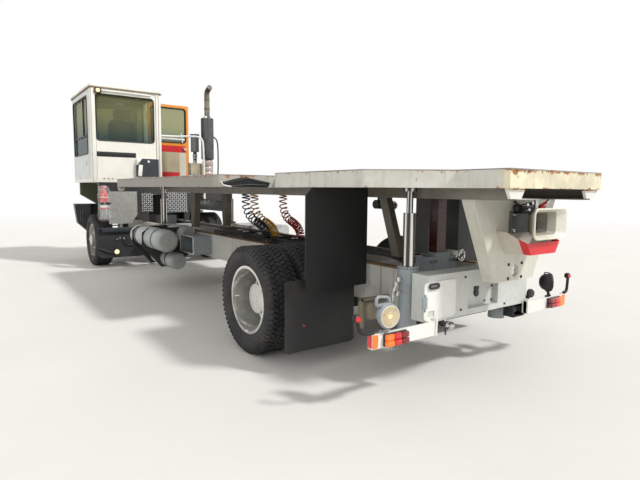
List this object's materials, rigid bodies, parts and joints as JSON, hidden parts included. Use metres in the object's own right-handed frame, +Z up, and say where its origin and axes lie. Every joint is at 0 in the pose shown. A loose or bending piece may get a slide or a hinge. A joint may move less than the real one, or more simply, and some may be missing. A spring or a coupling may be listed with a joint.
{
  "type": "terminal tractor with lifting deck",
  "caption": "Low yard truck with an offset front cab and a flat deck that hydraulic cylinders lift, for carrying swap bodies and moving trailers.",
  "frame": {"origin": "on the ground, under the middle of the truck's overall length and width", "axes": "+X forward along the truck, +Y to its left, +Z up"},
  "size_m": [9.58, 2.5958, 3.4373],
  "materials": {
    "frame_grey": "satin paint with rust",
    "white_paint": "gloss paint with dirt",
    "cab_paint": "gloss paint with dirt",
    "deck_paint": "worn paint with rust",
    "cream_paint": "worn paint with rust",
    "rusty_brown": "rusty dark paint",
    "tyre": "dusty rubber",
    "rear_rim": "polished rim with dirt",
    "front_rim": "grey paint with dirt",
    "axle_black": "dark cast iron",
    "cylinder_grey": "satin paint",
    "rod_chrome": "bright chrome",
    "black_rubber": "matt rubber",
    "black_plastic": "matt plastic",
    "grey_plastic": "matt plastic",
    "red_paint": "gloss paint",
    "dark_iron": "dark grey iron",
    "aluminium": "tread plate",
    "lamp_red": "clear lens",
    "glass": "clear glass",
    "seat_fabric": "woven cloth",
    "exhaust_steel": "heat-stained steel",
    "hose_black": "gloss plastic",
    "hose_yellow": "gloss plastic",
    "hose_red": "gloss plastic"
  },
  "bodies": {
    "chassis": {"chassis_rails": "frame_grey", "crossmembers": "frame_grey", "rear_box": "frame_grey", "rear_axle": "axle_black", "front_axle": "axle_black", "leaf_springs": "axle_black", "driveshaft": "axle_black", "engine_block": "dark_iron", "lift_barrels": "cylinder_grey", "guide_housing": "frame_grey", "chassis_flaps": "black_rubber", "air_tanks": "cylinder_grey", "tank_plates": "frame_grey", "outriggers": "frame_grey", "fuel_tank": "aluminium", "light_bars": "white_paint", "rear_lamps": "lamp_red", "bay_frames": "frame_grey", "bay_panels": "aluminium", "bumper": "black_plastic", "steps": "grey_plastic", "extinguisher_box": "red_paint", "cab_floor": "cab_paint", "cab_rear_wall": "cab_paint", "cab_front_wall": "cab_paint", "cab_left_wall": "cab_paint", "cab_right_wall": "cab_paint", "cab_roof": "cab_paint", "cab_glass": "glass", "seat": "seat_fabric", "dashboard": "black_plastic", "handrail": "white_paint", "exhaust": "exhaust_steel", "air_line_black": "hose_black", "air_line_yellow": "hose_yellow", "air_line_red": "hose_red"},
    "deck": {"deck_plate": "deck_paint", "deck_frame": "deck_paint", "deck_beams": "deck_paint", "deck_crossbeams": "deck_paint", "deck_rear_plate": "cream_paint", "coupling_body": "dark_iron", "coupling_mouth": "white_paint", "coupling_tray": "red_paint", "deck_guides": "rusty_brown", "deck_flaps": "black_rubber", "lift_rods": "rod_chrome"},
    "lift_stages": {"lift_stages": "rod_chrome"},
    "door": {"door_frame": "cab_paint", "door_glass": "glass"},
    "knuckle_left": {"knuckle_left": "axle_black"},
    "front_wheel_left": {"front_tyre_left": "tyre", "front_rim_left": "front_rim"},
    "rear_wheels_left": {"rear_tyres_left": "tyre", "rear_rims_left": "rear_rim"},
    "knuckle_right": {"knuckle_right": "axle_black"},
    "front_wheel_right": {"front_tyre_right": "tyre", "front_rim_right": "front_rim"},
    "rear_wheels_right": {"rear_tyres_right": "tyre", "rear_rims_right": "rear_rim"}
  },
  "joints": [
    {"name": "deck_lift", "type": "slide", "parent": "chassis", "child": "deck", "axis": [0, 0, 1], "range_m": [-0.48, 0.12], "deforming": ["air_line_black", "air_line_yellow", "air_line_red"]},
    {"name": "lift_stage_slide", "type": "slide", "parent": "chassis", "child": "lift_stages", "axis": [0, 0, 1], "range_m": [-0.336, 0.084]},
    {"name": "steer_left", "type": "hinge", "parent": "chassis", "child": "knuckle_left", "pos_m": [3.45, 0.85, 0.472], "axis": [0, 0, 1], "range_deg": [-35, 35]},
    {"name": "front_spin_left", "type": "hinge", "parent": "knuckle_left", "child": "front_wheel_left", "pos_m": [3.45, 1.083, 0.472], "axis": [0, 1, 0], "continuous": true},
    {"name": "rear_spin_left", "type": "hinge", "parent": "chassis", "child": "rear_wheels_left", "pos_m": [-2.7, 0.908, 0.472], "axis": [0, 1, 0], "continuous": true},
    {"name": "steer_right", "type": "hinge", "parent": "chassis", "child": "knuckle_right", "pos_m": [3.45, -0.85, 0.472], "axis": [0, 0, 1], "range_deg": [-35, 35]},
    {"name": "front_spin_right", "type": "hinge", "parent": "knuckle_right", "child": "front_wheel_right", "pos_m": [3.45, -1.083, 0.472], "axis": [0, 1, 0], "continuous": true},
    {"name": "rear_spin_right", "type": "hinge", "parent": "chassis", "child": "rear_wheels_right", "pos_m": [-2.7, -0.908, 0.472], "axis": [0, 1, 0], "continuous": true},
    {"name": "door_swing", "type": "hinge", "parent": "chassis", "child": "door", "pos_m": [3.95, 0.004, 2.4], "axis": [0, 0, 1], "range_deg": [-90, 0]}
  ],
  "couplings": [
    {"joint": "lift_stage_slide", "follows": "deck_lift", "ratio": 0.7},
    {"joint": "steer_right", "follows": "steer_left", "ratio": 1}
  ]
}
